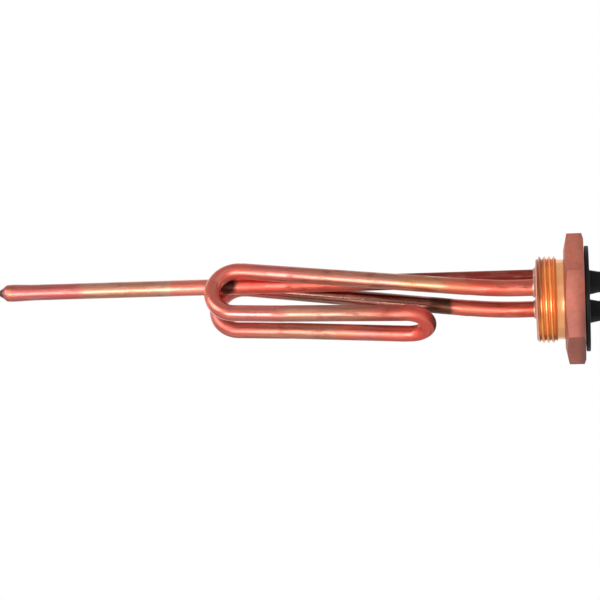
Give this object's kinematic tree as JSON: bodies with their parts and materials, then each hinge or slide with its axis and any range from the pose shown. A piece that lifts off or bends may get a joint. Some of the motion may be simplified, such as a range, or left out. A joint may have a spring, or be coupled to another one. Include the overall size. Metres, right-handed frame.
{
  "type": "water heater element",
  "caption": "Screw-in electric water heater element: hexagon brass plug with pipe thread, folded copper-sheathed heater and a long closed thermostat tube.",
  "frame": {"origin": "centre of the plug's seat face, the flat ring of the hexagon that bears on the tank", "axes": "+X along the element out of the tank, through the hexagon to the terminals; +Z towards the thermostat pocket; the two heater legs stand at -Y and +Y"},
  "size_m": [0.303, 0.0632, 0.058],
  "materials": {
    "plug_brass": "satin turned and hot-stamped brass",
    "sheath_copper": "drawn copper tube, lightly annealed",
    "pocket_copper": "drawn copper tube",
    "braze_alloy": "rough brazed fillet",
    "magnesia": "compacted powder",
    "resistance_wire": "oxidised wire",
    "plated_steel": "bright zinc plate",
    "end_seal": "cast silicone",
    "end_bead": "glazed ceramic",
    "tinned_brass": "bright tin plate",
    "cover_plastic": "moulded black phenolic"
  },
  "bodies": {
    "root": {"screw_plug": "plug_brass", "heater_sheath": "sheath_copper", "magnesia_fill": "magnesia", "resistance_coil": "resistance_wire", "thermostat_pocket": "pocket_copper", "braze_ring_front": "braze_alloy", "braze_ring_rear": "braze_alloy", "braze_ring_pocket": "braze_alloy", "terminal_pin_front": "plated_steel", "terminal_pin_rear": "plated_steel", "end_seal_front": "end_seal", "end_seal_rear": "end_seal", "end_bead_front": "end_bead", "end_bead_rear": "end_bead", "terminal_tab_front": "tinned_brass", "terminal_tab_rear": "tinned_brass", "terminal_cover": "cover_plastic", "cover_screw": "plated_steel", "cover_washer": "plated_steel", "earth_tab": "tinned_brass", "earth_screw": "plated_steel", "earth_washer": "plated_steel"}
  },
  "joints": []
}
